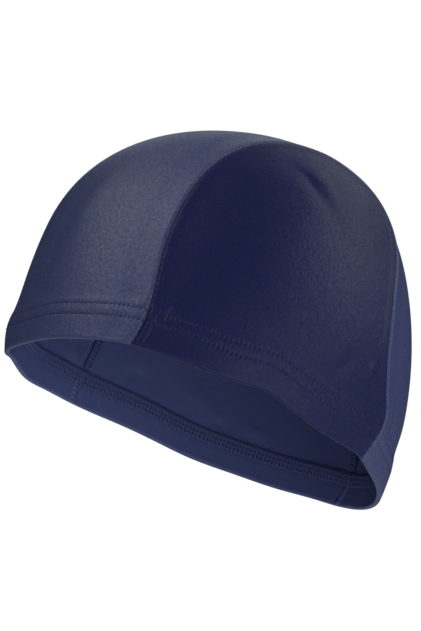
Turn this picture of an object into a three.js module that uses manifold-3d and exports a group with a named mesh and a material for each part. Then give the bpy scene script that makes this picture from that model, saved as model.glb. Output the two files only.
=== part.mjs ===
// Fabric swim cap in its worn form: a centre strip and two side panels of stretch knit.
// Units are millimetres. +Z is up, -Y is the forehead, +X is the wearer's left.
// The origin is the middle of the head opening.

import * as THREE from 'three';
import Module from 'manifold-3d';

// Driving sizes of the cap
const openingLength = 180;   // head opening, forehead to nape
const openingWidth = 149;    // head opening, side to side
const crownHeight = 139;     // from the plane of the opening to the crown
const openingTilt = 22.4;    // degrees that the nape sits lower than the forehead
const sideRise = 3.9;        // how far the rim rises over the ears
const foreheadDrop = 4.8;    // how far the rim dips at the forehead
const cloth = 1.2;           // one layer of stretched knit
const hemDepth = 17;         // folded hem, from the rim up
const hemRamp = 1.5;         // height over which the hem's second layer ends
const seamGap = 0.3;         // clearance between sewn pieces
const allowanceWidth = 4.0;  // seam allowance, pressed towards the side panel
const allowanceCloth = 1.2;  // its thickness

// Mesh fineness
const columns = 84;          // round the head
const crownRows = 15;        // from the hem to the crown
const seamSteps = 64;        // along a seam

// Five stations from the rim to the crown, blended smoothly.
// Lengths and widths are shares of the opening's, shift is a share of half its length,
// taper narrows the forehead end, and round draws the outline towards three corners.
const stations = [
  { at: 'rim', length: 1.0, width: 1.0, shift: 0.036, taper: 0.08, round: 0.01 },
  { at: 'hem', length: 1.085, width: 1.12, shift: 0.035, taper: 0.10, round: 0.06 },
  { at: 'temple', length: 1.21, width: 1.25, shift: -0.222, taper: 0.03, round: 0.03 },
  { at: 'shoulder', length: 1.23, width: 1.38, shift: -0.016, taper: -0.02, round: 0.01 },
  { at: 'crown', length: 1.19, width: 1.40, shift: 0.20, taper: -0.04, round: -0.01 },
];

// Places on the cap are given in the flattened cap: a disc with the crown in its middle and the
// rim as its edge, at reach 1. Angles run from the wearer's left (0) to the nape (90), and the
// forehead is at -90.

// The left seam, from the forehead end of the rim over the top to the nape end.
// side and back are shares of the way from the crown out to the rim. The right seam mirrors it,
// turned by slant degrees: towards the forehead where above 0, towards the nape where below 0.
// Its nape end lies nearer the middle, since the cap sits a little askew.
const seamRun = [
  { at: 'front rim', side: 0.834, back: -0.552, slant: 1.5 },
  { at: 'front hem', side: 0.787, back: -0.491, slant: 3.0 },
  { at: 'temple', side: 0.640, back: -0.418, slant: -1.0 },
  { at: 'front shoulder', side: 0.455, back: -0.245, slant: 0 },
  { at: 'top front', side: 0.305, back: -0.055, slant: 0 },
  { at: 'top', side: 0.262, back: 0.120, slant: 0 },
  { at: 'top back', side: 0.272, back: 0.265, slant: 0 },
  { at: 'back shoulder', side: 0.375, back: 0.352, slant: -2.0 },
  { at: 'back', side: 0.515, back: 0.405, slant: -9.0 },
  { at: 'behind the ear', side: 0.612, back: 0.475, slant: -19.0 },
  { at: 'lower back', side: 0.645, back: 0.560, slant: -25.0 },
  { at: 'back hem', side: 0.642, back: 0.645, slant: -23.5 },
  { at: 'back rim', side: 0.716, back: 0.698, slant: -22.0 },
];

// Waves of the rim: a rise in millimetres that fades over the given degrees to both sides
const rimWaves = [
  { angle: -148, fade: 24, rise: -0.8 },
  { angle: -123, fade: 9, rise: -1.1 },
  { angle: -108, fade: 8, rise: 2.2 },
  { angle: -80, fade: 14, rise: -1.6 },
  { angle: -38, fade: 9, rise: 0.9 },
  { angle: -10, fade: 9, rise: -1.0 },
  { angle: 5, fade: 6, rise: 1.8 },
  { angle: 24, fade: 7, rise: -0.9 },
  { angle: 42, fade: 7, rise: 1.6 },
  { angle: 88, fade: 22, rise: -1.1 },
  { angle: 128, fade: 12, rise: 0.9 },
  { angle: 170, fade: 12, rise: -1.1 },
  { angle: -165, fade: 10, rise: 0.3 },
];

// Soft folds and dents: each lies at an angle and a reach, runs the given length at a turn from
// the way round the head, is as wide as width (both shares of the reach), and stands out by rise
// millimetres
const folds = [
  { at: 'forehead hem', angle: -94, reach: 0.955, turn: 0, length: 0.30, width: 0.045, rise: 2.1 },
  { at: 'forehead', angle: -95, reach: 0.78, turn: 0, length: 0.50, width: 0.10, rise: -0.8 },
  { at: 'nape hem', angle: 72, reach: 0.90, turn: 0, length: 0.16, width: 0.035, rise: -0.8 },
  { at: 'left crease', angle: 6.5, reach: 0.50, turn: -34, length: 0.11, width: 0.03, rise: -0.8 },
];

const knitColour = 0x1b2448;
const seamColour = 0x141b38;

const radians = THREE.MathUtils.degToRad;

function blend(values, t) {
  let row = values.slice();
  while (row.length > 1) {
    row = row.slice(1).map((value, i) => row[i] + (value - row[i]) * t);
  }
  return row[0];
}

function station(column, t) {
  return blend(stations.map((row) => row[column]), t);
}

// Fades from 1 at the middle to about a third at a distance of one spread
const fade = (distance, spread) => Math.exp(-((distance / spread) ** 2));

function foldRise(side, back) {
  let rise = 0;
  for (const fold of folds) {
    const angle = radians(fold.angle);
    const turn = angle + Math.PI / 2 + radians(fold.turn);
    const ds = side - fold.reach * Math.cos(angle);
    const db = back - fold.reach * Math.sin(angle);
    const along = ds * Math.cos(turn) + db * Math.sin(turn);
    const across = db * Math.cos(turn) - ds * Math.sin(turn);
    rise += fold.rise * fade(along, fold.length) * fade(across, fold.width);
  }
  return rise;
}

function rimRise(angle) {
  const cos = Math.cos(angle);
  const sin = Math.sin(angle);
  let rise = sideRise * cos ** 2 - (sin < 0 ? foreheadDrop * sin ** 2 : 0);
  for (const wave of rimWaves) {
    const turn = THREE.MathUtils.radToDeg(angle) - wave.angle;
    rise += wave.rise * fade(turn - 360 * Math.round(turn / 360), wave.fade);
  }
  return rise;
}

const heartHeight = 0.3;     // height of the middle from which folds stand out, share of the crown's

// The outer face of the cloth over a point of the flattened cap
function capPoint(side, back) {
  const reach = Math.hypot(side, back);
  const cos = reach > 0 ? side / reach : 1;
  const sin = reach > 0 ? back / reach : 0;
  const t = 1 - reach;
  const spread = Math.cos(Math.PI * t / 2) * (1 + station('round', t) * (3 * sin - 4 * sin ** 3));
  const egg = 1 - station('taper', t) * sin;
  const x = openingWidth / 2 * station('width', t) * spread * cos * egg;
  const y = openingLength / 2 * (station('shift', t) + station('length', t) * spread * sin);
  const z = crownHeight * Math.sin(Math.PI * t / 2) + rimRise(Math.atan2(sin, cos)) * reach ** 2;
  const heart = new THREE.Vector3(0, 0, heartHeight * crownHeight);
  const arm = new THREE.Vector3(x, y, z).sub(heart);
  arm.setLength(arm.length() + foldRise(side, back));
  return arm.add(heart).applyAxisAngle(new THREE.Vector3(1, 0, 0), -radians(openingTilt));
}

const probe = 0.004;         // step in the flattened cap for slopes

function slopes(side, back) {
  const along = (ds, db) => capPoint(side + ds, back + db)
    .sub(capPoint(side - ds, back - db)).divideScalar(2 * probe);
  return [along(probe, 0), along(0, probe)];
}

// A point of the flattened cap, moved inward from the outer face by a depth of cloth
function clothPoint(side, back, depth) {
  const [toSide, toBack] = slopes(side, back);
  const outward = toSide.cross(toBack).normalize();
  return capPoint(side, back).addScaledVector(outward, -depth);
}

// Moves a point of the flattened cap so that the cloth point moves by the given vector
function shifted(side, back, move) {
  const [a, b] = slopes(side, back);
  const aa = a.dot(a);
  const ab = a.dot(b);
  const bb = b.dot(b);
  const det = aa * bb - ab * ab;
  const am = a.dot(move);
  const bm = b.dot(move);
  return [side + (bb * am - ab * bm) / det, back + (aa * bm - ab * am) / det];
}

// How much reach in the flattened cap one millimetre of cloth takes at the rim
function reachPerMm(angle) {
  const rise = capPoint(Math.cos(angle), Math.sin(angle))
    .distanceTo(capPoint(0.9 * Math.cos(angle), 0.9 * Math.sin(angle)));
  return 0.1 / rise;
}

function solidOf(points, triangles) {
  const mesh = new wasm.Mesh({
    numProp: 3,
    vertProperties: new Float32Array(points.flatMap((p) => [p.x, p.y, p.z])),
    triVerts: new Uint32Array(triangles),
  });
  return new wasm.Manifold(mesh);
}

function geometryOf(solid) {
  const { vertProperties, triVerts } = solid.getMesh();
  const geometry = new THREE.BufferGeometry();
  geometry.setAttribute('position', new THREE.BufferAttribute(vertProperties, 3));
  geometry.setIndex(new THREE.BufferAttribute(triVerts, 1));
  geometry.computeVertexNormals();
  return geometry;
}

// The whole cap as one closed wall: up the outside, over the rim's fold, and up the inside,
// where the hem's second layer makes the wall twice as thick
function capWall() {
  const fold = 2 * cloth;
  const section = [];
  const up = (share) => 1 - (1 - share) ** 1.15;
  for (let i = crownRows; i >= 1; i -= 1) {
    section.push({ above: hemDepth + hemRamp, crown: up(i / crownRows), depth: 0 });
  }
  section.push({ above: hemDepth + hemRamp, crown: 0, depth: 0 });
  section.push({ above: hemDepth * 0.62, crown: 0, depth: 0 });
  section.push({ above: hemDepth * 0.3, crown: 0, depth: 0 });
  section.push({ above: cloth, crown: 0, depth: 0 });
  section.push({ above: cloth * 0.3, crown: 0, depth: fold * 0.15 });
  section.push({ above: 0, crown: 0, depth: fold * 0.5 });
  section.push({ above: cloth * 0.3, crown: 0, depth: fold * 0.85 });
  section.push({ above: cloth, crown: 0, depth: fold });
  section.push({ above: hemDepth * 0.5, crown: 0, depth: fold });
  section.push({ above: hemDepth, crown: 0, depth: fold });
  section.push({ above: hemDepth + hemRamp, crown: 0, depth: cloth });
  for (let i = 1; i <= crownRows; i += 1) {
    section.push({ above: hemDepth + hemRamp, crown: up(i / crownRows), depth: cloth });
  }
  const rows = section.slice(1, -1);
  const points = [clothPoint(0, 0, 0), clothPoint(0, 0, cloth)];
  for (const row of rows) {
    for (let i = 0; i < columns; i += 1) {
      const angle = 2 * Math.PI * i / columns;
      const edge = 1 - row.above * reachPerMm(angle);
      const reach = edge * (1 - row.crown);
      points.push(clothPoint(reach * Math.cos(angle), reach * Math.sin(angle), row.depth));
    }
  }
  const at = (row, i) => 2 + row * columns + i % columns;
  const last = rows.length - 1;
  const triangles = [];
  for (let i = 0; i < columns; i += 1) {
    triangles.push(0, at(0, i), at(0, i + 1));
    triangles.push(1, at(last, i + 1), at(last, i));
    for (let row = 0; row < last; row += 1) {
      triangles.push(at(row, i), at(row + 1, i), at(row + 1, i + 1));
      triangles.push(at(row, i), at(row + 1, i + 1), at(row, i + 1));
    }
  }
  return solidOf(points, triangles);
}

// The left seam in the flattened cap, from its front end (0) to its back end (1): a smooth run
// through the rows of seamRun, carried on straight past both ends
function seamPlace(u) {
  const last = seamRun.length - 1;
  const row = Math.min(Math.max(Math.floor(u * last), 0), last - 1);
  const f = u * last - row;
  const pick = (column, i) => {
    if (i < 0) return 2 * seamRun[0][column] - seamRun[1][column];
    if (i > last) return 2 * seamRun[last][column] - seamRun[last - 1][column];
    return seamRun[i][column];
  };
  return ['side', 'back', 'slant'].map((column) => {
    const [a, b, c, d] = [-1, 0, 1, 2].map((step) => pick(column, row + step));
    if (f < 0) return b + f * (c - b);
    if (f > 1) return c + (f - 1) * (c - b);
    return 0.5 * (2 * b + (c - a) * f + (2 * a - 5 * b + 4 * c - d) * f ** 2
      + (3 * b - a - 3 * c + d) * f ** 3);
  });
}

// The place of a seam at a share of its run: hand is 1 for the left seam and -1 for the right
function seamAt(u, hand) {
  const [side, back, slant] = seamPlace(u);
  if (hand > 0) return [side, back];
  const angle = Math.atan2(back, side) - radians(slant);
  const reach = Math.hypot(side, back);
  return [-reach * Math.cos(angle), reach * Math.sin(angle)];
}

// A direction in the cloth that points from a seam to its side panel
function towardsPanel(u, hand) {
  const along = capPoint(...seamAt(u + probe, hand)).sub(capPoint(...seamAt(u - probe, hand)));
  const [toSide, toBack] = slopes(...seamAt(u, hand));
  const outward = toSide.cross(toBack);
  return along.cross(outward).normalize().multiplyScalar(hand);
}

// A closed bar along a seam from u0 to u1: its section runs between two distances from the seam
// line and between two depths of cloth
function seamBar(hand, u0, u1, near, far, top, bottom) {
  const corners = [[near, top], [far, top], [far, bottom], [near, bottom]];
  if (hand < 0) corners.reverse();
  const sides = corners.length;
  const points = [];
  for (let i = 0; i <= seamSteps; i += 1) {
    const u = u0 + (u1 - u0) * i / seamSteps;
    const away = towardsPanel(u, hand);
    for (const [distance, depth] of corners) {
      const place = shifted(...seamAt(u, hand), away.clone().multiplyScalar(distance));
      points.push(clothPoint(...place, depth));
    }
  }
  const triangles = [];
  for (let i = 0; i < seamSteps; i += 1) {
    for (let k = 0; k < sides; k += 1) {
      const a = sides * i + k;
      const b = sides * i + (k + 1) % sides;
      triangles.push(a, b, b + sides, a, b + sides, a + sides);
    }
  }
  const end = sides * seamSteps;
  triangles.push(0, 2, 1, 0, 3, 2, end, end + 1, end + 2, end, end + 2, end + 3);
  return solidOf(points, triangles);
}

// The share of the seam's run at which it is a given height above the rim, from either end
function seamShareAbove(height, fromBack) {
  let u = 0;
  const step = 0.002;
  while (u < 0.5) {
    const [side, back] = seamPlace(fromBack ? 1 - u : u);
    const angle = Math.atan2(back, side);
    if ((1 - Math.hypot(side, back)) / reachPerMm(angle) >= height) break;
    u += step;
  }
  return fromBack ? 1 - u : u;
}

const wasm = await Module();
wasm.setup();

const cutMargin = 2;         // how far a seam cut runs past the cloth on both faces
const cutOverrun = 0.03;     // and past the rim, as a share of the seam
function seamCut(hand) {
  const half = seamGap / 2;
  return seamBar(hand, -cutOverrun, 1 + cutOverrun, -half, half, -cutMargin, 2 * cloth + cutMargin);
}
const panels = capWall().subtract(seamCut(1)).subtract(seamCut(-1)).decompose();

// Which side of the cap a panel lies on: its box reaches one way from the middle only
function isSide(panel, sign) {
  const { min, max } = panel.boundingBox();
  return sign > 0 ? min[0] > 0 : max[0] < 0;
}

const leftPanel = panels.find((panel) => isSide(panel, 1));
const rightPanel = panels.find((panel) => isSide(panel, -1));
const centrePanel = panels.find((panel) => panel !== leftPanel && panel !== rightPanel);

const hemClearance = 3;      // from the hem's edge to the ends of the seam allowances
function seamAllowance(hand) {
  const start = hemDepth + hemRamp + hemClearance;
  const top = cloth + seamGap;
  const [front, back] = [seamShareAbove(start, false), seamShareAbove(start, true)];
  return seamBar(hand, front, back, 0, allowanceWidth, top, top + allowanceCloth);
}

const knit = new THREE.MeshStandardMaterial({ color: knitColour, roughness: 0.6, metalness: 0 });
const sewn = new THREE.MeshStandardMaterial({ color: seamColour, roughness: 0.8, metalness: 0 });

const cap = new THREE.Group();
const pieces = [
  ['centre_panel', centrePanel, knit],
  ['left_panel', leftPanel, knit],
  ['right_panel', rightPanel, knit],
  ['left_seam', seamAllowance(1), sewn],
  ['right_seam', seamAllowance(-1), sewn],
];
for (const [name, solid, material] of pieces) {
  const mesh = new THREE.Mesh(geometryOf(solid), material);
  mesh.name = name;
  cap.add(mesh);
}

export default cap;
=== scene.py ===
# Fabric swim cap in its worn form: fine cloth panels, sewn seams, hem stitching, materials,
# light and camera. Blender works in metres; the cap's own sizes are in millimetres.

import math

import bpy
import numpy as np
from mathutils import Matrix, Vector
from mathutils.kdtree import KDTree


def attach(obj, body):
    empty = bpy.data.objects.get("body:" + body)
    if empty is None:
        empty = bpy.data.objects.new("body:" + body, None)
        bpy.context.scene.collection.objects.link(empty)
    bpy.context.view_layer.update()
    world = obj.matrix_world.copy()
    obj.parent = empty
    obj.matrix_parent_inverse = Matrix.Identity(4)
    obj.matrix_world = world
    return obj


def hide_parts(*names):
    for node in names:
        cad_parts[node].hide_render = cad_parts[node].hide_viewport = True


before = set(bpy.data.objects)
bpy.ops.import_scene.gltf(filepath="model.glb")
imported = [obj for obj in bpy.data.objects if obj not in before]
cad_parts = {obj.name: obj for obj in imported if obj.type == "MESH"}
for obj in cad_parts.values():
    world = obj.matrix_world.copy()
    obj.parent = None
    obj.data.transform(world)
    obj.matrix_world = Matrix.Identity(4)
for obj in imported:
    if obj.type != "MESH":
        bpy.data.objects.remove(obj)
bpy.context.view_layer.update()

MM = 0.001

# Driving sizes of the cap, as in the CAD source
OPENING_LENGTH = 180.0
OPENING_WIDTH = 149.0
CROWN_HEIGHT = 139.0
OPENING_TILT = math.radians(22.4)
SIDE_RISE = 3.9
FOREHEAD_DROP = 4.8
CLOTH = 1.2
HEM_DEPTH = 17.0
HEM_RAMP = 1.5
ALLOWANCE_WIDTH = 4.0

# The point that folds rise away from, as a share of the crown's height, and the small step in
# the flattened cap over which slopes are measured
HEART_HEIGHT = 0.3
PROBE = 0.004

# Rows from the rim to the crown: how the cap's length, width, shift to the back, taper to
# the nape and roundness change
STATIONS = {
    "length": (1.0, 1.085, 1.21, 1.23, 1.19),
    "width": (1.0, 1.12, 1.25, 1.38, 1.40),
    "shift": (0.036, 0.035, -0.222, -0.016, 0.20),
    "taper": (0.08, 0.10, 0.03, -0.02, -0.04),
    "round": (0.01, 0.06, 0.03, 0.01, -0.01),
}

# side and back of the left seam in the flattened cap, from the forehead end to the nape end,
# and the degrees by which the right seam is turned from its mirror image
SEAM_RUN = (
    (0.834, -0.552, 1.5), (0.787, -0.491, 3.0), (0.640, -0.418, -1.0), (0.455, -0.245, 0),
    (0.305, -0.055, 0), (0.262, 0.120, 0), (0.272, 0.265, 0), (0.375, 0.352, -2.0),
    (0.515, 0.405, -9.0), (0.612, 0.475, -19.0), (0.645, 0.560, -25.0),
    (0.642, 0.645, -23.5), (0.716, 0.698, -22.0),
)

# Soft waves of the rim: angle and spread in degrees, rise in millimetres
RIM_WAVES = (
    (-148, 24, -0.8), (-123, 9, -1.1), (-108, 8, 2.2), (-80, 14, -1.6), (-38, 9, 0.9),
    (-10, 9, -1.0), (5, 6, 1.8), (24, 7, -0.9), (42, 7, 1.6), (88, 22, -1.1), (128, 12, 0.9),
    (170, 12, -1.1), (-165, 10, 0.3),
)

# The cap's main folds: the angle round the cap and the reach from its crown (0) to its rim
# (1), the turn of the fold in degrees from the way round, its length and width in the
# flattened cap, and its rise in millimetres
FOLDS = (
    (-94, 0.955, 0, 0.30, 0.045, 2.1),
    (-95, 0.78, 0, 0.50, 0.10, -0.8),
    (72, 0.90, 0, 0.16, 0.035, -0.8),
    (6.5, 0.50, -34, 0.11, 0.03, -0.8),
)

# Small folds and dents of the cloth that only the fine model has, in the same columns
FINE_FOLDS = (
    (3.5, 0.472, -34, 0.050, 0.011, -0.55),
    (8, 0.455, -30, 0.060, 0.022, 0.35),
    (-47, 0.70, 78, 0.070, 0.030, -0.5),
    (-50, 0.55, 40, 0.060, 0.030, -0.5),
    (-62, 0.66, 70, 0.110, 0.045, 0.6),
    (-72, 0.80, 75, 0.090, 0.035, -0.5),
    (33, 0.838, 15, 0.020, 0.014, 0.6),
    (24, 0.86, 30, 0.045, 0.018, -0.45),
    (-34, 0.915, 55, 0.022, 0.010, 0.6),
    (-27, 0.925, 60, 0.020, 0.009, -0.4),
    (164, 0.898, 12, 0.034, 0.010, 1.0),
    (154, 0.885, 8, 0.060, 0.016, -0.8),
    (148, 0.905, 40, 0.014, 0.006, 0.6),
    (144, 0.905, 40, 0.014, 0.006, 0.6),
    (172, 0.86, 8, 0.120, 0.030, -0.8),
    (-165, 0.875, -6, 0.070, 0.020, 0.7),
    (-141, 0.895, 6, 0.040, 0.016, -1.0),
    (-135, 0.87, 10, 0.050, 0.014, 0.8),
    (-146, 0.955, 84, 0.020, 0.008, 0.4),
    (-151, 0.945, 70, 0.022, 0.007, 0.5),
    (-155, 0.955, 66, 0.020, 0.007, -0.4),
    (86, 0.90, 70, 0.045, 0.012, 0.5),
    (97, 0.92, 100, 0.050, 0.014, -0.5),
    (107, 0.90, 85, 0.040, 0.012, 0.4),
)


def blend(column, t):
    """Smooth run through a station column, from the rim (t = 0) to the crown (t = 1)."""
    row = [np.full_like(t, value) for value in STATIONS[column]]
    while len(row) > 1:
        row = [a + (b - a) * t for a, b in zip(row, row[1:])]
    return row[0]


def fade(distance, spread):
    return np.exp(-((distance / spread) ** 2))


def fold_rise(side, back, folds):
    rise = np.zeros_like(side)
    for angle, reach, turn, length, width, height in folds:
        a = math.radians(angle)
        way = a + math.pi / 2 + math.radians(turn)
        ds = side - reach * math.cos(a)
        db = back - reach * math.sin(a)
        along = ds * math.cos(way) + db * math.sin(way)
        across = db * math.cos(way) - ds * math.sin(way)
        rise += height * fade(along, length) * fade(across, width)
    return rise


def rim_rise(angle):
    cos = np.cos(angle)
    sin = np.sin(angle)
    rise = SIDE_RISE * cos**2 - np.where(sin < 0, FOREHEAD_DROP * sin**2, 0)
    for middle, spread, height in RIM_WAVES:
        turn = np.degrees(angle) - middle
        rise += height * fade(turn - 360 * np.round(turn / 360), spread)
    return rise


def cap_point(side, back):
    """The outer face of the cloth over points of the flattened cap, in millimetres."""
    reach = np.hypot(side, back)
    safe = np.where(reach > 0, reach, 1.0)
    cos = np.where(reach > 0, side / safe, 1.0)
    sin = np.where(reach > 0, back / safe, 0.0)
    t = 1 - reach
    spread = np.cos(np.pi * t / 2) * (1 + blend("round", t) * (3 * sin - 4 * sin**3))
    egg = 1 - blend("taper", t) * sin
    x = OPENING_WIDTH / 2 * blend("width", t) * spread * cos * egg
    y = OPENING_LENGTH / 2 * (blend("shift", t) + blend("length", t) * spread * sin)
    z = CROWN_HEIGHT * np.sin(np.pi * t / 2) + rim_rise(np.arctan2(sin, cos)) * reach**2
    heart = HEART_HEIGHT * CROWN_HEIGHT
    arm = np.stack([x, y, z - heart], -1)
    length = np.linalg.norm(arm, axis=-1)
    arm = arm * (1 + fold_rise(side, back, FOLDS) / length)[..., None]
    x, y, z = arm[..., 0], arm[..., 1], arm[..., 2] + heart
    ct, st = math.cos(OPENING_TILT), math.sin(OPENING_TILT)
    return np.stack([x, y * ct + z * st, z * ct - y * st], -1)


def outward(side, back):
    to_side = cap_point(side + PROBE, back) - cap_point(side - PROBE, back)
    to_back = cap_point(side, back + PROBE) - cap_point(side, back - PROBE)
    normal = np.cross(to_side, to_back)
    return normal / np.linalg.norm(normal, axis=-1, keepdims=True)


def reach_per_mm(angle):
    """How much reach in the flattened cap one millimetre of cloth takes at the rim."""
    cos, sin = np.cos(angle), np.sin(angle)
    rise = np.linalg.norm(cap_point(cos, sin) - cap_point(0.9 * cos, 0.9 * sin), axis=-1)
    return 0.1 / rise


def above_rim(side, back):
    """Height above the rim's edge, in millimetres of cloth."""
    return (1 - np.hypot(side, back)) / reach_per_mm(np.arctan2(back, side))


def seam_place(u, hand):
    """A seam in the flattened cap from its forehead end (0) to its nape end (1)."""
    rows = np.array(SEAM_RUN)
    rows = np.vstack([2 * rows[0] - rows[1], rows, 2 * rows[-1] - rows[-2]])
    last = len(SEAM_RUN) - 1
    row = np.clip(np.floor(u * last).astype(int), 0, last - 1)
    f = (u * last - row)[:, None]
    a, b, c, d = (rows[row + step] for step in range(4))
    place = 0.5 * (2 * b + (c - a) * f + (2 * a - 5 * b + 4 * c - d) * f**2
                   + (3 * b - a - 3 * c + d) * f**3)
    side, back, slant = place.T
    if hand > 0:
        return side, back
    angle = np.arctan2(back, side) - np.radians(slant)
    reach = np.hypot(side, back)
    return -reach * np.cos(angle), reach * np.sin(angle)


# The rim's length from angle to angle, for stitches that are spaced in millimetres
RIM_STEPS = 2880
rim_angles = np.linspace(-math.pi, math.pi, RIM_STEPS + 1)
rim_points = cap_point(np.cos(rim_angles), np.sin(rim_angles))
rim_lengths = np.concatenate(
    [[0], np.cumsum(np.linalg.norm(np.diff(rim_points, axis=0), axis=1))])
RIM_LENGTH = float(rim_lengths[-1])


def run_at(angle):
    return np.interp(angle, rim_angles, rim_lengths)


def angle_at(run):
    return np.interp(np.mod(run, RIM_LENGTH), rim_lengths, rim_angles)


class Seam:
    """One seam line on the outer face: its length, and how far a point lies from it."""

    STEPS = 2000

    def __init__(self, hand):
        self.hand = hand
        self.shares = np.linspace(0, 1, self.STEPS + 1)
        self.places = seam_place(self.shares, hand)
        self.points = cap_point(*self.places)
        steps = np.linalg.norm(np.diff(self.points, axis=0), axis=1)
        self.lengths = np.concatenate([[0], np.cumsum(steps)])
        self.length = float(self.lengths[-1])
        tangent = np.gradient(self.points, axis=0)
        self.tangents = tangent / np.linalg.norm(tangent, axis=1, keepdims=True)
        away = np.cross(self.tangents, outward(*self.places)) * hand
        self.away = away / np.linalg.norm(away, axis=1, keepdims=True)
        self.tree = KDTree(len(self.points))
        for i, point in enumerate(self.points):
            self.tree.insert(point, i)
        self.tree.balance()

    def share_at(self, length):
        return np.interp(length, self.lengths, self.shares)

    def measure(self, points):
        """Signed distance (positive towards the side panel) and place along the seam."""
        near = np.array([self.tree.find(p)[1] for p in points.tolist()])
        gap = points - self.points[near]
        slip = np.einsum("ij,ij->i", gap, self.tangents[near])
        distance = np.sqrt(np.maximum(np.einsum("ij,ij->i", gap, gap) - slip**2, 0))
        sign = np.sign(np.einsum("ij,ij->i", gap, self.away[near]))
        return distance * sign, self.lengths[near] + slip


SEAMS = {1: Seam(1), -1: Seam(-1)}

# Sewing: two needle rows hold the hem, and the allowance is pressed towards the side panel.
# Named here are the grooves, the puff between the rows, the roll of the seam, the ridge and
# the valley on the strip's side of it, and how much of this shows inside, in millimetres.
NEEDLE_ROWS = (10.8, 15.7)
NEEDLE_MIDDLE = sum(NEEDLE_ROWS) / 2
STITCH = 2.0
NEEDLE_GROOVE = 0.07
NEEDLE_DIP = 0.10
NEEDLE_WIDTH = 0.5
HEM_PUFF = 0.12
HEM_PUFF_WIDTH = 1.6
HEM_STEP = 0.25
HEM_STEP_WIDTH = 2.5
ROLL_DEPTH = 0.85
ROLL_WIDTH = 0.7
ROLL_IN_HEM = 0.25
ROLL_IN_HEM_WIDTH = 1.2
RIDGE = 1.7
RIDGE_WIDTH = 8.0
ALLOWANCE_SHOWS = 0.16
ALLOWANCE_SHOWS_IN_HEM = 0.30
VALLEY_DEPTH = 0.45
VALLEY_FROM_SEAM = 9.5
VALLEY_WIDTH = 4.5
INNER_BEAD = 0.40
INNER_BEAD_WIDTH = 0.9
INNER_DITCH = 0.25
INNER_DITCH_AWAY = 2.4
INNER_DITCH_WIDTH = 1.0
RELIEF_SHARE_INSIDE = 0.35
FOLD_SHARE_INSIDE = 0.8
THINNEST_CLOTH = 0.15


def places(side, back):
    """What the cloth's relief depends on, for flat arrays of points of the flattened cap."""
    points = cap_point(side, back)
    left, left_run = SEAMS[1].measure(points)
    right, right_run = SEAMS[-1].measure(points)
    nearer = np.abs(left) < np.abs(right)
    return {
        "points": points,
        "normals": outward(side, back),
        "above": above_rim(side, back),
        "fine": fold_rise(side, back, FINE_FOLDS),
        "run": run_at(np.arctan2(back, side)),
        "seam": np.where(nearer, left, right),
        "seam_run": np.where(nearer, left_run, right_run),
    }


def step(value, low, high):
    """Smooth step from 0 at low to 1 at high."""
    x = np.clip((value - low) / (high - low), 0, 1)
    return x * x * (3 - 2 * x)


def outer_lift(at):
    """How far the cloth's outer face stands out from the cap's main form, in millimetres."""
    above, seam = at["above"], at["seam"]
    off = np.abs(seam)
    in_hem = 1 - step(above, HEM_DEPTH - 2, HEM_DEPTH + 1)
    lift = RIDGE * np.exp(-off / RIDGE_WIDTH) * step(above, 0, HEM_DEPTH + 6)
    lift -= ROLL_DEPTH * fade(off, ROLL_WIDTH)
    lift -= ROLL_IN_HEM * in_hem * fade(off, ROLL_IN_HEM_WIDTH)
    ridge = step(seam, 0.6, 1.8) * (1 - step(seam, 3.4, 5.0))
    lift += (ALLOWANCE_SHOWS + ALLOWANCE_SHOWS_IN_HEM * in_hem) * ridge
    lift -= VALLEY_DEPTH * fade(seam + VALLEY_FROM_SEAM, VALLEY_WIDTH)
    for row in NEEDLE_ROWS:
        dip = 0.5 + 0.5 * np.cos(2 * np.pi * at["run"] / STITCH)
        lift -= (NEEDLE_GROOVE + NEEDLE_DIP * dip) * fade(above - row, NEEDLE_WIDTH)
    lift += HEM_PUFF * fade(above - NEEDLE_MIDDLE, HEM_PUFF_WIDTH)
    lift -= HEM_STEP * step(above, HEM_DEPTH, HEM_DEPTH + HEM_STEP_WIDTH)
    return lift + at["fine"]


def wall(at):
    """Depth of the outer and inner face below the cap's main form."""
    above = np.maximum(at["above"], 0)
    low = np.clip(CLOTH - above, 0, CLOTH)
    curl = CLOTH - np.sqrt(np.maximum(CLOTH**2 - low**2, 0))
    out_of_fold = step(above, 0, CLOTH)
    lift = outer_lift(at)
    outer = curl - lift * out_of_fold
    facing = CLOTH * (1 - step(above, HEM_DEPTH, HEM_DEPTH + HEM_RAMP))
    inner = CLOTH + facing - curl
    off = np.abs(at["seam"])
    inner -= RELIEF_SHARE_INSIDE * (lift - at["fine"]) * out_of_fold * (off > 2)
    inner -= FOLD_SHARE_INSIDE * at["fine"] * out_of_fold
    in_hem = 1 - step(above, HEM_DEPTH - 1, HEM_DEPTH + 0.5)
    bead = INNER_BEAD * fade(off, INNER_BEAD_WIDTH)
    bead = bead - INNER_DITCH * fade(off - INNER_DITCH_AWAY, INNER_DITCH_WIDTH)
    inner += in_hem * out_of_fold * bead
    thinnest = inner - THINNEST_CLOTH * out_of_fold
    outer = np.where(above > 0, np.minimum(outer, thinnest), outer)
    return outer, inner


def spaced(line_side, line_back, near, far, middle):
    """Shares of lines (one a column) at given distances from both their ends."""
    points = cap_point(line_side, line_back)
    steps = np.linalg.norm(np.diff(points, axis=0), axis=-1)
    lengths = np.vstack([np.zeros(steps.shape[1]), np.cumsum(steps, axis=0)])
    shares = np.linspace(0, 1, len(line_side))
    columns = []
    for column in range(lengths.shape[1]):
        length = lengths[-1, column]
        squeeze = min(1.0, length / (near[-1] + far[-1] + 4.0))
        start = np.array(near) * squeeze
        end = length - np.array(far[::-1]) * squeeze
        between = np.linspace(start[-1], end[0], middle + 2)[1:-1]
        stops = np.concatenate([start, between, end])
        columns.append(np.interp(stops, lengths[:, column], shares))
    return np.array(columns).T


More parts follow.
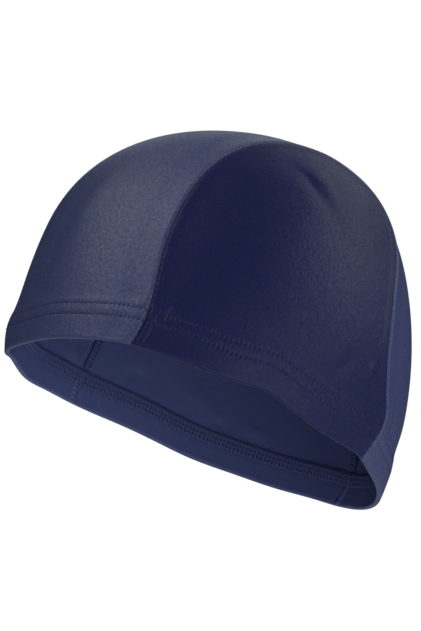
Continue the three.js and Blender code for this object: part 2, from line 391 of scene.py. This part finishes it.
# Distances in millimetres of the mesh rows from the rim and from the seam: close together at
# the fold, the needle rows and the seam, since the small shapes are there
RIM_ROWS = (0, 0.06, 0.15, 0.3, 0.5, 0.75, 1.0, 1.3, 1.9, 2.9, 4.2, 5.6, 7.0, 8.2, 9.2, 9.8,
            10.2, 10.5, 10.8, 11.1, 11.4, 11.8, 12.4, 13.3, 14.2, 14.7, 15.1, 15.4, 15.7, 16.0,
            16.3, 16.7, 17.2, 17.7, 18.2, 18.8, 19.8, 21.2, 23.0)
SEAM_ROWS = (0.05, 0.2, 0.4, 0.6, 0.85, 1.1, 1.4, 1.8, 2.3, 2.9, 3.5, 4.1, 4.7, 5.5, 6.5)
SIDE_COLUMNS = 360
SIDE_MIDDLE_ROWS = 72
SIDE_LINE_STEPS = 80
STRIP_COLUMNS = 56
STRIP_MIDDLE_ROWS = 150
STRIP_LINE_STEPS = 400
STRIP_ACROSS = 105


def rim_ends(hand):
    """Angles where a seam meets the rim, from the middle of its own side of the cap."""
    side, back = seam_place(np.array([0.0, 1.0]), hand)
    return np.arctan2(back, side * hand)


def side_panel_grid(hand):
    """Rows from the rim to the seam, columns from the forehead end to the nape end."""
    share = np.linspace(0.0015, 0.9985, SIDE_COLUMNS)
    seam = SEAMS[hand]
    first, last = rim_ends(hand)
    angle = first + (last - first) * share
    rim_side, rim_back = np.cos(angle) * hand, np.sin(angle)
    seam_side, seam_back = seam_place(seam.share_at(share * seam.length), hand)
    fine = np.linspace(0, 1, SIDE_LINE_STEPS)[:, None]
    w = spaced(rim_side + (seam_side - rim_side) * fine,
               rim_back + (seam_back - rim_back) * fine,
               RIM_ROWS, SEAM_ROWS, SIDE_MIDDLE_ROWS)
    return rim_side + (seam_side - rim_side) * w, rim_back + (seam_back - rim_back) * w


def centre_panel_grid():
    """Rows from the forehead rim to the nape rim, columns from the right seam to the left."""
    near = np.array(SEAM_ROWS) / STRIP_ACROSS
    between = np.linspace(near[-1], 1 - near[-1], STRIP_COLUMNS + 2)[1:-1]
    across = np.concatenate([near, between, 1 - near[::-1]])
    left_front, left_rear = rim_ends(1)
    right_front, right_rear = rim_ends(-1)
    front_angle = (-math.pi - right_front) + (left_front + right_front + math.pi) * across
    rear_angle = (math.pi - right_rear) + (left_rear + right_rear - math.pi) * across

    def place(along):
        left, right = (
            np.stack(seam_place(seam.share_at(along.ravel() * seam.length), seam.hand), -1)
            .reshape(along.shape + (2,)) for seam in (SEAMS[1], SEAMS[-1]))
        rim_front = np.stack([np.cos(front_angle), np.sin(front_angle)], -1)
        rim_rear = np.stack([np.cos(rear_angle), np.sin(rear_angle)], -1)
        p = across[:, None]
        q = along[..., None]
        seams = right * (1 - p) + left * p
        rims = rim_front * (1 - q) + rim_rear * q
        corners = ((rim_front[0] * (1 - p) + rim_front[-1] * p) * (1 - q)
                   + (rim_rear[0] * (1 - p) + rim_rear[-1] * p) * q)
        both = seams + rims - corners
        return both[..., 0], both[..., 1]

    fine = np.repeat(np.linspace(0, 1, STRIP_LINE_STEPS)[:, None], len(across), axis=1)
    w = spaced(*place(fine), RIM_ROWS, RIM_ROWS, STRIP_MIDDLE_ROWS)
    return place(w)


def mesh_object(name, points, faces, smooth=True):
    """A mesh from points in millimetres."""
    mesh = bpy.data.meshes.new(name)
    mesh.from_pydata((np.asarray(points) * MM).tolist(), [], faces)
    mesh.polygons.foreach_set("use_smooth", np.full(len(mesh.polygons), smooth))
    mesh.validate()
    thing = bpy.data.objects.new(name, mesh)
    bpy.context.scene.collection.objects.link(thing)
    return thing


def quads(a, b, c, d):
    return np.stack([x.ravel() for x in (a, b, c, d)], -1)


def cloth_wall(name, side, back, rim_rows):
    """A panel as one closed wall over a grid of points of the flattened cap. Its outer and
    inner faces share their points where they meet in the fold of the rim."""
    at = places(side.ravel(), back.ravel())
    outer, inner = wall(at)
    faces_at = []
    for depth in (outer, inner):
        faces_at.append(at["points"] - at["normals"] * depth[:, None])
    size = side.size
    outer_ids = np.arange(size).reshape(side.shape)
    inner_ids = outer_ids + size
    for row in rim_rows:
        inner_ids[row] = outer_ids[row]
    points = np.vstack(faces_at)
    ring = np.cross(points[outer_ids[1, 1]] - points[outer_ids[0, 1]],
                    points[outer_ids[1, 2]] - points[outer_ids[1, 1]])
    flip = float(ring @ at["normals"][outer_ids[1, 1]]) < 0
    o, i = outer_ids, inner_ids
    faces = [
        quads(o[:-1, :-1], o[1:, :-1], o[1:, 1:], o[:-1, 1:]),
        quads(i[:-1, :-1], i[:-1, 1:], i[1:, 1:], i[1:, :-1]),
        quads(o[:-1, 0], i[:-1, 0], i[1:, 0], o[1:, 0]),
        quads(o[:-1, -1], o[1:, -1], i[1:, -1], i[:-1, -1]),
    ]
    if 0 not in rim_rows:
        faces.append(quads(o[0, :-1], o[0, 1:], i[0, 1:], i[0, :-1]))
    if -1 not in rim_rows:
        faces.append(quads(o[-1, :-1], i[-1, :-1], i[-1, 1:], o[-1, 1:]))
    faces = np.vstack(faces)
    if flip:
        faces = faces[:, ::-1]
    used = np.unique(faces)
    renumber = np.full(len(points), -1)
    renumber[used] = np.arange(len(used))
    faces = renumber[faces]
    plain = [list(dict.fromkeys(face)) for face in faces.tolist()]
    thing = mesh_object(name, points[used], plain)
    layers = {key: np.concatenate([at[key], at[key]])
              for key in ("above", "run", "seam", "seam_run")}
    layers["inner"] = np.concatenate([np.zeros(size), np.ones(size)])
    for key, values in layers.items():
        layer = thing.data.attributes.new(key, "FLOAT", "POINT")
        layer.data.foreach_set("value", values[used].astype(np.float32))
    return thing


left_panel = cloth_wall("left_panel_cloth", *side_panel_grid(1), rim_rows=(0,))
right_panel = cloth_wall("right_panel_cloth", *side_panel_grid(-1), rim_rows=(0,))
centre_panel = cloth_wall("centre_panel_cloth", *centre_panel_grid(), rim_rows=(0, -1))


def tubes(paths, ups, radius, sides, ends=0.35):
    """Many short threads at once: paths is threads by points by 3, ups the way out of the
    cloth at each point. The threads get thinner towards their ends."""
    count, steps = paths.shape[:2]
    along = np.gradient(paths, axis=1)
    along /= np.linalg.norm(along, axis=-1, keepdims=True)
    across = np.cross(along, ups)
    across /= np.linalg.norm(across, axis=-1, keepdims=True)
    up = np.cross(across, along)
    place = np.linspace(-1, 1, steps)
    thin = np.where(np.abs(place) > 0.999, ends, 1.0) * radius
    turn = 2 * np.pi * np.arange(sides) / sides
    ring = (np.cos(turn)[:, None] * up[:, :, None] + np.sin(turn)[:, None] * across[:, :, None])
    points = paths[:, :, None] + ring * thin[:, None, None]
    ids = np.arange(count * steps * sides).reshape(count, steps, sides)
    around = np.roll(ids, -1, axis=2)
    faces = quads(ids[:, :-1], around[:, :-1], around[:, 1:], ids[:, 1:]).tolist()
    faces += ids[:, 0, ::-1].tolist()
    faces += ids[:, -1].tolist()
    return points.reshape(-1, 3), faces


def joined(name, parts):
    """One object from several sets of points and faces."""
    points, faces, start = [], [], 0
    for some_points, some_faces in parts:
        points.append(some_points)
        faces += [[start + i for i in face] for face in some_faces]
        start += len(some_points)
    return mesh_object(name, np.vstack(points), faces)


def hem_places(run, height):
    """Places of the flattened cap at a run along the rim and a height above it."""
    angle = angle_at(run)
    reach = 1 - height * reach_per_mm(angle)
    return reach * np.cos(angle), reach * np.sin(angle)


def hem_threads(run, height, lift, inside):
    """Threads on the hem: run, height and lift are threads by points, in millimetres."""
    side, back = hem_places(run.ravel(), height.ravel())
    at = places(side, back)
    outer, inner = wall(at)
    depth = inner + lift.ravel() if inside else outer - lift.ravel()
    points = at["points"] - at["normals"] * depth[:, None]
    ups = -at["normals"] if inside else at["normals"]
    return points.reshape(run.shape + (3,)), ups.reshape(run.shape + (3,))


# Radius of each kind of thread, in millimetres
NEEDLE_THREAD = 0.16
LOOPER_THREAD = 0.17
CHAIN_THREAD = 0.16
BINDING_THREAD = 0.15
THREAD_SIDES = 5

stitch_count = round(RIM_LENGTH / STITCH)
stitch = RIM_LENGTH / stitch_count
starts = np.arange(stitch_count) * stitch
random = np.random.default_rng(7)

# Needle threads on the outside: one short dash a stitch in each row
dash = np.linspace(-0.34, 0.34, 6)
dash_arch = np.array([-0.22, 0.02, 0.10, 0.10, 0.02, -0.22])
needle_parts = []
for row in NEEDLE_ROWS:
    run = starts[:, None] + stitch / 2 + dash * stitch
    height = row + random.normal(0, 0.05, (stitch_count, 1)) + 0 * run
    lift = np.broadcast_to(dash_arch, run.shape)
    needle_parts.append(tubes(*hem_threads(run, height, lift, False), radius=NEEDLE_THREAD,
                              sides=6))
needle_threads = joined("hem_needle_threads", needle_parts)

# Looper threads on the inside: a zigzag between the rows and a chain along each row
low, high = NEEDLE_ROWS[0] - 0.4, NEEDLE_ROWS[1] + 0.5
way = np.linspace(0, 1, 6)
bow = np.array([0.02, 0.20, 0.26, 0.26, 0.20, 0.02])
looper_parts = []
for lean, phase in ((0.5, 0.0), (-0.5, 0.5), (0.9, 0.25)):
    jitter = random.normal(0, 0.08, (stitch_count, 1))
    run = starts[:, None] + (phase + lean * way) * stitch + jitter
    height = low + (high - low) * way + 0 * run
    lift = np.broadcast_to(bow, run.shape)
    looper_parts.append(tubes(*hem_threads(run, height, lift, True), radius=LOOPER_THREAD,
                              sides=THREAD_SIDES))
for row in (*NEEDLE_ROWS, NEEDLE_MIDDLE):
    for sway in (1, -1):
        jitter = random.normal(0, 0.05, (stitch_count, 1))
        run = starts[:, None] + np.linspace(-0.05, 0.95, 6) * stitch
        height = row + sway * 0.28 * np.sin(np.pi * way) + jitter
        lift = 0.16 + 0.14 * np.sin(np.pi * way) + 0 * run
        looper_parts.append(tubes(*hem_threads(run, height, lift, True), radius=CHAIN_THREAD,
                                  sides=THREAD_SIDES))
looper_threads = joined("hem_looper_threads", looper_parts)


def allowance_points(hand, along, distance, height):
    """Points over a seam allowance: along the seam, away from it, and in from the cloth."""
    seam = SEAMS[hand]
    flat_along = np.asarray(along).ravel()
    u = seam.share_at(flat_along)
    side, back = seam_place(u, hand)
    points = cap_point(side, back)
    normals = outward(side, back)
    tangent = np.stack([np.interp(flat_along, seam.lengths, seam.tangents[:, k])
                        for k in range(3)], -1)
    away = np.cross(tangent, normals) * hand
    away /= np.linalg.norm(away, axis=-1, keepdims=True)
    bend = outward(*move_in_cloth(side, back, away))
    off = np.asarray(distance).ravel()[:, None]
    normal = normals + (bend - normals) * off
    normal /= np.linalg.norm(normal, axis=-1, keepdims=True)
    curve = np.einsum("ij,ij->i", bend - normals, away)[:, None]
    surface = points + away * off - normals * curve * off**2 / 2
    depth = np.asarray(height).ravel()[:, None]
    return (surface - normal * depth).reshape(np.shape(along) + (3,)), \
        normal.reshape(np.shape(along) + (3,))


def move_in_cloth(side, back, move):
    """Places of the flattened cap whose points are moved by the given vectors."""
    a = (cap_point(side + PROBE, back) - cap_point(side - PROBE, back)) / (2 * PROBE)
    b = (cap_point(side, back + PROBE) - cap_point(side, back - PROBE)) / (2 * PROBE)
    aa, ab, bb = (np.einsum("ij,ij->i", p, q) for p, q in ((a, a), (a, b), (b, b)))
    am, bm = (np.einsum("ij,ij->i", p, move) for p in (a, b))
    det = aa * bb - ab * ab
    return side + (bb * am - ab * bm) / det, back + (aa * bm - ab * am) / det


ALLOWANCE_TOP = CLOTH + 0.12
ALLOWANCE_THICK = 1.05
HEM_END = HEM_DEPTH + HEM_RAMP + 0.4
BAND_STEPS = 420
BAND_SIDES = 16
BAND_END = 1.5


def seam_allowance(hand, name):
    """The overlocked allowance: a soft flat band with a rounded section."""
    seam = SEAMS[hand]
    height = above_rim(*seam.places)
    inside = np.flatnonzero(height > HEM_END)
    first, last = seam.lengths[inside[0]], seam.lengths[inside[-1]]
    along = np.linspace(first, last, BAND_STEPS)
    turn = 2 * np.pi * np.arange(BAND_SIDES) / BAND_SIDES
    half = (ALLOWANCE_WIDTH + 0.3) / 2
    flat = np.sign(np.cos(turn)) * np.abs(np.cos(turn)) ** 0.5
    thick = np.sign(np.sin(turn)) * np.abs(np.sin(turn)) ** 0.6
    from_end = np.minimum(along - first, last - along)
    end = np.minimum(1, from_end / BAND_END + 0.12)[:, None]
    wave = 0.10 * np.sin(2 * np.pi * along / 7.3)[:, None] + 0.06 * np.sin(along / 1.9)[:, None]
    distance = -0.3 + half + flat * half * (0.8 + 0.2 * end) + wave * (flat > 0)
    puff = ALLOWANCE_THICK / 2 * (1 + 0.08 * np.sin(2 * np.pi * along / STITCH))[:, None]
    depth = ALLOWANCE_TOP + ALLOWANCE_THICK / 2 - thick * puff * end
    grid = np.broadcast_to(along[:, None], distance.shape)
    points, _ = allowance_points(hand, grid, distance, depth)
    ids = np.arange(BAND_STEPS * BAND_SIDES).reshape(BAND_STEPS, BAND_SIDES)
    around = np.roll(ids, -1, axis=1)
    faces = quads(ids[:-1], ids[1:], around[1:], around[:-1])
    caps = [ids[0], ids[-1, ::-1]]
    if hand < 0:
        faces = faces[:, ::-1]
        caps = [cap[::-1] for cap in caps]
    band = mesh_object(name, points.reshape(-1, 3), faces.tolist() + [c.tolist() for c in caps])
    return band, first, last


def overlock(hand, name, first, last):
    """Threads that bind the allowance's edge: slanted strands with a chain at each side."""
    count = round((last - first - 1) / STITCH)
    pitch = (last - first - 1) / count
    start = first + 0.5 + np.arange(count)[:, None] * (last - first - 1) / count
    top = ALLOWANCE_TOP + ALLOWANCE_THICK
    parts = []
    jitter = random.normal(0, 0.06, (count, 1))
    for lean, phase in ((0.35, 0.0), (-0.45, 0.5)):
        along = start + (phase + lean * way) * pitch + jitter
        distance = 0.2 + (ALLOWANCE_WIDTH - 0.1) * way + 0 * along
        depth = top + np.array([-0.25, 0.12, 0.14, 0.14, 0.12, -0.30]) + 0 * along
        parts.append(thread_set(hand, along, distance, depth))
    for place in (0.35, ALLOWANCE_WIDTH - 0.35):
        for sway in (1, -1):
            along = start + np.linspace(0, 1, 6) * pitch
            distance = place + sway * 0.22 * np.sin(np.pi * way) + 0 * along
            depth = top + 0.10 + 0.12 * np.sin(np.pi * way) + 0 * along
            parts.append(thread_set(hand, along, distance, depth))
    return joined(name, parts)


def thread_set(hand, along, distance, depth):
    points, normals = allowance_points(hand, along, distance, depth)
    return tubes(points, -normals, radius=BINDING_THREAD, sides=THREAD_SIDES)


left_band, left_first, left_last = seam_allowance(1, "left_seam_allowance")
right_band, right_first, right_last = seam_allowance(-1, "right_seam_allowance")
left_overlock = overlock(1, "left_seam_threads", left_first, left_last)
right_overlock = overlock(-1, "right_seam_threads", right_first, right_last)


# Materials

def node(tree, kind, **settings):
    made = tree.nodes.new(kind)
    for key, value in settings.items():
        setattr(made, key, value)
    return made


def number(tree, operation, *values):
    made = node(tree, "ShaderNodeMath", operation=operation)
    for socket, value in zip(made.inputs, values):
        if isinstance(value, (int, float)):
            socket.default_value = value
        else:
            tree.links.new(value, socket)
    return made.outputs[0]


def read(tree, name):
    return node(tree, "ShaderNodeAttribute", attribute_name=name).outputs["Fac"]


def soft_peak(tree, value, middle, spread):
    """A bump of height 1 round the middle that fades over the spread."""
    away = number(tree, "DIVIDE", number(tree, "SUBTRACT", value, middle), spread)
    return number(tree, "POWER", math.e, number(tree, "MULTIPLY", -1.0,
                  number(tree, "MULTIPLY", away, away)))


def noise(tree, scale, detail=2.0, rough=0.5):
    made = node(tree, "ShaderNodeTexNoise")
    made.inputs["Scale"].default_value = scale
    made.inputs["Detail"].default_value = detail
    made.inputs["Roughness"].default_value = rough
    tree.links.new(node(tree, "ShaderNodeTexCoord").outputs["Object"], made.inputs["Vector"])
    return made.outputs["Fac"]


def sharper(tree, value, gain):
    """The same pattern with more contrast about its middle, between 0 and 1."""
    moved = number(tree, "MULTIPLY", number(tree, "SUBTRACT", value, 0.5), gain)
    return number(tree, "MINIMUM", number(tree, "MAXIMUM", number(tree, "ADD", moved, 0.5), 0.0),
                  1.0)


def mixed(tree, factor, dark, light):
    made = node(tree, "ShaderNodeMix", data_type="RGBA")
    tree.links.new(factor, made.inputs[0])
    for socket, colour in ((made.inputs[6], dark), (made.inputs[7], light)):
        if isinstance(colour, tuple):
            socket.default_value = (*colour, 1.0)
        else:
            tree.links.new(colour, socket)
    return made.outputs[2]


def bumped(tree, height, distance, strength, below=None):
    made = node(tree, "ShaderNodeBump")
    made.inputs["Strength"].default_value = strength
    made.inputs["Distance"].default_value = distance
    tree.links.new(height, made.inputs["Height"])
    if below is not None:
        tree.links.new(below, made.inputs["Normal"])
    return made.outputs["Normal"]


# Scales of the noise patterns in cells a metre, bump distances in metres, and the widths in
# millimetres of what shows along the needle rows, the seam and the rim
GRAIN_SCALE = 850.0
GRAIN_GAIN = 2.6
CLOUD_SCALE = 55.0
INNER_GRAIN_SCALE = 1400.0
THREAD_GRAIN_SCALE = 2600.0
GLINT = 0.20
LOOP_PITCH = 0.62
ROW_PITCH = 0.55
LOOP_SHARE = 0.6
GRAIN_SHARE = 3.0
KNIT_BUMP = 0.00006
SEWN_BUMP = 0.00012
CLOUD_BUMP = 0.0016
THREAD_BUMP = 0.0001
PUCKER_WIDTH = 1.1
SEAM_PUCKER_WIDTH = 1.5
SEAM_PUCKER_PITCH = 2.4
LOOPER_SHADE_WIDTH = 3.0
# Place and width of the painted highlight along the rim's fold
RIM_HIGHLIGHT_FROM_EDGE = 0.5
RIM_HIGHLIGHT_WIDTH = 0.9


def knit_material(name, dark, light, roughness, specular):
    """Knitted cloth: its outer face between the dark and the light colour, lighter along the rim's
    fold as a painted highlight, with specks that shine more; its inner face smoother and plainer."""
    made = bpy.data.materials.new(name)
    made.use_nodes = True
    tree = made.node_tree
    shader = tree.nodes["Principled BSDF"]
    above, run = read(tree, "above"), read(tree, "run")
    seam, seam_run = read(tree, "seam"), read(tree, "seam_run")
    grain = sharper(tree, noise(tree, GRAIN_SCALE, 3.0, 0.65), GRAIN_GAIN)
    cloudy = noise(tree, CLOUD_SCALE, 3.0, 0.55)
    fine = mixed(tree, grain, dark, light)
    mottle_and_rim_highlight = mixed(tree, number(tree, "MULTIPLY", cloudy, 0.4), fine,
                 tuple(0.6 * d + 0.4 * l for d, l in zip(dark, light)))
    # Painted highlight: the outer face is made lighter along the rim's fold, where its rounded edge
    # catches the light
    painted_rim_highlight = number(tree, "MULTIPLY", 0.5, soft_peak(tree, above, RIM_HIGHLIGHT_FROM_EDGE, RIM_HIGHLIGHT_WIDTH))
    mottle_and_rim_highlight = mixed(tree, painted_rim_highlight, mottle_and_rim_highlight, light)
    # Inner face colour: lighter than the outer face, partly the knit's own back and partly painted
    # light inside the cap
    inner_cloth_painted_light = mixed(tree, noise(tree, INNER_GRAIN_SCALE, 3.0, 0.6), LIT_INNER_DARK, LIT_INNER_LIGHT)
    # Painted shade: the inner face is darker in a band under the looper threads
    shade_under_looper = number(tree, "MULTIPLY", 0.75,
                          soft_peak(tree, above, NEEDLE_MIDDLE, LOOPER_SHADE_WIDTH))
    inner_face = mixed(tree, shade_under_looper, inner_cloth_painted_light, PAINTED_LOOPER_SHADE)
    inside = read(tree, "inner")
    both = mixed(tree, inside, mottle_and_rim_highlight, inner_face)
    tree.links.new(both, shader.inputs["Base Color"])
    glint = number(tree, "MULTIPLY", number(tree, "SUBTRACT", 0.5, grain), GLINT)
    tree.links.new(number(tree, "ADD", glint, roughness), shader.inputs["Roughness"])
    shader.inputs["IOR"].default_value = 1.3
    shader.inputs["Specular IOR Level"].default_value = specular
    wave = number(tree, "SINE", number(tree, "MULTIPLY", run, 2 * math.pi / stitch))
    pucker = number(tree, "ADD", *(soft_peak(tree, above, row, PUCKER_WIDTH)
                                   for row in NEEDLE_ROWS))
    seam_wave = number(tree, "SINE", number(tree, "MULTIPLY", seam_run,
                                            2 * math.pi / SEAM_PUCKER_PITCH))
    seam_pucker = number(tree, "MULTIPLY", soft_peak(tree, seam, 0.0, SEAM_PUCKER_WIDTH), seam_wave)
    sewn = number(tree, "ADD", number(tree, "MULTIPLY", pucker, wave), seam_pucker)
    first = bumped(tree, sewn, SEWN_BUMP, 0.8)
    loops = number(tree, "SINE", number(tree, "MULTIPLY", run, 2 * math.pi / LOOP_PITCH))
    rows = number(tree, "SINE", number(tree, "MULTIPLY", above, 2 * math.pi / ROW_PITCH))
    outer_share = number(tree, "SUBTRACT", 1.0, number(tree, "MULTIPLY", inside, 0.8))
    crossed = number(tree, "MULTIPLY", number(tree, "MULTIPLY", loops, rows), LOOP_SHARE)
    specks = number(tree, "MULTIPLY", number(tree, "MULTIPLY", grain, GRAIN_SHARE),
                    outer_share)
    knit = number(tree, "ADD", crossed, specks)
    second = bumped(tree, knit, KNIT_BUMP, 0.5, first)
    third = bumped(tree, cloudy, CLOUD_BUMP, 0.35, second)
    tree.links.new(third, shader.inputs["Normal"])
    return made


def thread_material(name, dark, light, roughness):
    made = bpy.data.materials.new(name)
    made.use_nodes = True
    tree = made.node_tree
    shader = tree.nodes["Principled BSDF"]
    grain = noise(tree, THREAD_GRAIN_SCALE)
    tree.links.new(mixed(tree, grain, dark, light), shader.inputs["Base Color"])
    glint = number(tree, "MULTIPLY", number(tree, "SUBTRACT", 0.5, grain), GLINT)
    tree.links.new(number(tree, "ADD", glint, roughness), shader.inputs["Roughness"])
    shader.inputs["IOR"].default_value = 1.25
    tree.links.new(bumped(tree, grain, THREAD_BUMP, 0.5), shader.inputs["Normal"])
    return made


# The centre strip and the side panels are one cloth. The strip's lighter colours are painted light,
# and the side panels' darker colours are painted shade.
LIT_STRIP_DARK, LIT_STRIP_LIGHT = (0.016, 0.020, 0.060), (0.038, 0.046, 0.120)
SHADED_SIDE_DARK, SHADED_SIDE_LIGHT = (0.0022, 0.0033, 0.024), (0.0066, 0.0096, 0.056)
# The inner face is lighter partly as the knit's plainer back and partly as painted light inside the
# cap.
LIT_INNER_DARK, LIT_INNER_LIGHT = (0.042, 0.050, 0.132), (0.068, 0.082, 0.210)
# Colour of the painted shade under the looper threads
PAINTED_LOOPER_SHADE = (0.014, 0.018, 0.060)
HEM_THREAD_DARK, HEM_THREAD_LIGHT = (0.006, 0.008, 0.034), (0.015, 0.019, 0.070)
INNER_THREAD_DARK, INNER_THREAD_LIGHT = (0.050, 0.062, 0.160), (0.095, 0.118, 0.270)
EDGE_DARK, EDGE_LIGHT = (0.018, 0.023, 0.070), (0.040, 0.050, 0.140)
lit_strip_knit = knit_material("knit_strip_painted_light", LIT_STRIP_DARK, LIT_STRIP_LIGHT, 0.45, 0.66)
shaded_side_knit = knit_material("knit_side_painted_shade", SHADED_SIDE_DARK, SHADED_SIDE_LIGHT, 0.45, 0.36)
thread = thread_material("hem_thread", HEM_THREAD_DARK, HEM_THREAD_LIGHT, 0.7)
inner_thread = thread_material("inner_thread", INNER_THREAD_DARK, INNER_THREAD_LIGHT, 0.6)
edge = thread_material("overlocked_edge", EDGE_DARK, EDGE_LIGHT, 0.75)

for thing, material in (
    (centre_panel, lit_strip_knit), (left_panel, shaded_side_knit), (right_panel, shaded_side_knit),
    (needle_threads, thread), (looper_threads, inner_thread),
    (left_band, edge), (right_band, edge),
    (left_overlock, inner_thread), (right_overlock, inner_thread),
):
    thing.data.materials.append(material)
    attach(thing, "root")

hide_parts("centre_panel")
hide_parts("left_panel")
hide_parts("right_panel")
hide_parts("left_seam")
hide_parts("right_seam")


# Camera: as the photograph was taken, from the wearer's left and a little in front, below
# the cap's rim. The place is where the head opening's middle falls in the picture.
IMAGE_WIDTH, IMAGE_HEIGHT = 421, 631
CAMERA_AZIMUTH = math.radians(75.7)
CAMERA_ELEVATION = math.radians(-10.2)
CAMERA_DISTANCE = 0.758
FOCAL_PIXELS = 1691
ORIGIN_X, ORIGIN_Y = 190.4, 422.5
SENSOR = 36.0


def photo_camera():
    """Sets up the camera and returns the directions right of it, up from it and ahead."""
    back = Vector((math.sin(CAMERA_AZIMUTH) * math.cos(CAMERA_ELEVATION),
                   -math.cos(CAMERA_AZIMUTH) * math.cos(CAMERA_ELEVATION),
                   math.sin(CAMERA_ELEVATION)))
    du = (ORIGIN_X - IMAGE_WIDTH / 2) / FOCAL_PIXELS
    dv = (IMAGE_HEIGHT / 2 - ORIGIN_Y) / FOCAL_PIXELS
    to_origin = -back
    azimuth = math.atan2(to_origin.x, to_origin.y)
    elevation = math.asin(to_origin.z)
    norm = math.sqrt(1 + du * du + dv * dv)
    pitch = math.asin(math.sin(elevation) * norm / math.hypot(1, dv)) - math.atan2(dv, 1)
    yaw = azimuth - math.atan2(du, math.cos(pitch) - math.sin(pitch) * dv)
    forward = Vector((math.sin(yaw) * math.cos(pitch), math.cos(yaw) * math.cos(pitch),
                      math.sin(pitch)))
    right = Vector((math.cos(yaw), -math.sin(yaw), 0))
    up = right.cross(forward)
    data = bpy.data.cameras.new("camera")
    data.sensor_width = SENSOR
    data.lens = FOCAL_PIXELS * SENSOR / IMAGE_HEIGHT
    data.clip_start = 0.01
    data.clip_end = 20
    camera = bpy.data.objects.new("camera", data)
    turn = Matrix((right, up, -forward)).transposed().to_4x4()
    camera.matrix_world = Matrix.Translation(back * CAMERA_DISTANCE) @ turn
    bpy.context.scene.collection.objects.link(camera)
    bpy.context.scene.camera = camera
    return right, up, forward


view_right, view_up, view_forward = photo_camera()

# Pale floor below the cap
FLOOR_HEIGHT = -0.20
FLOOR_HALF = 3000
corners = [[x * FLOOR_HALF, y * FLOOR_HALF, FLOOR_HEIGHT / MM]
           for x, y in ((-1, -1), (1, -1), (1, 1), (-1, 1))]
floor = mesh_object("floor", corners, [[0, 1, 2, 3]], smooth=False)
pale = bpy.data.materials.new("pale_floor")
pale.use_nodes = True
pale.node_tree.nodes["Principled BSDF"].inputs["Base Color"].default_value = (0.8, 0.8, 0.8, 1)
pale.node_tree.nodes["Principled BSDF"].inputs["Roughness"].default_value = 0.9
floor.data.materials.append(pale)

# A white backdrop that gives the cap only a little light, so that the soft lights shape it
BACKDROP_LIGHT = 0.035
world = bpy.data.worlds.new("studio")
bpy.context.scene.world = world
world.use_nodes = True
backdrop = world.node_tree.nodes["Background"]
backdrop.inputs["Color"].default_value = (1, 1, 1, 1)
seen = node(world.node_tree, "ShaderNodeLightPath").outputs["Is Camera Ray"]
world.node_tree.links.new(number(world.node_tree, "MAXIMUM", seen, BACKDROP_LIGHT),
                          backdrop.inputs["Strength"])


# Soft lights in the order of their columns: name, degrees to the right of and up from the
# camera's own direction, distance and side in metres, watts
LIGHT_COLOUR = (0.90, 0.96, 1.0)
CAP_MIDDLE = (0, 0.01, 0.05)
SOFT_LIGHTS = (
    ("left_softbox", -64, 50, 1.2, 0.6, 8.2),
    ("high_left_softbox", -85, 72, 1.2, 0.5, 2.2),
    ("right_softbox", 80, 28, 1.2, 0.7, 9.6),
    ("high_right_softbox", 130, 37, 1.2, 0.5, 1.5),
    ("crown_softbox", 175, 42, 1.2, 1.0, 2.2),
    ("low_fill", 20, -16, 0.45, 0.3, 1.45),
)


def soft_light(name, turn, rise, distance, size, power):
    """One square soft light round the cap, aimed at its middle."""
    middle = Vector(CAP_MIDDLE)
    right, up = math.radians(turn), math.radians(rise)
    place = middle + distance * (
        view_right * math.sin(right) * math.cos(up) + view_up * math.sin(up)
        - view_forward * math.cos(right) * math.cos(up))
    data = bpy.data.lights.new(name, "AREA")
    data.shape = "SQUARE"
    data.size = size
    data.energy = power
    data.color = LIGHT_COLOUR
    light = bpy.data.objects.new(name, data)
    light.location = place
    light.rotation_mode = "QUATERNION"
    light.rotation_quaternion = (middle - place).to_track_quat("-Z", "Y")
    light.visible_camera = False
    bpy.context.scene.collection.objects.link(light)


for row in SOFT_LIGHTS:
    soft_light(*row)

bpy.context.scene.view_settings.view_transform = "Standard"
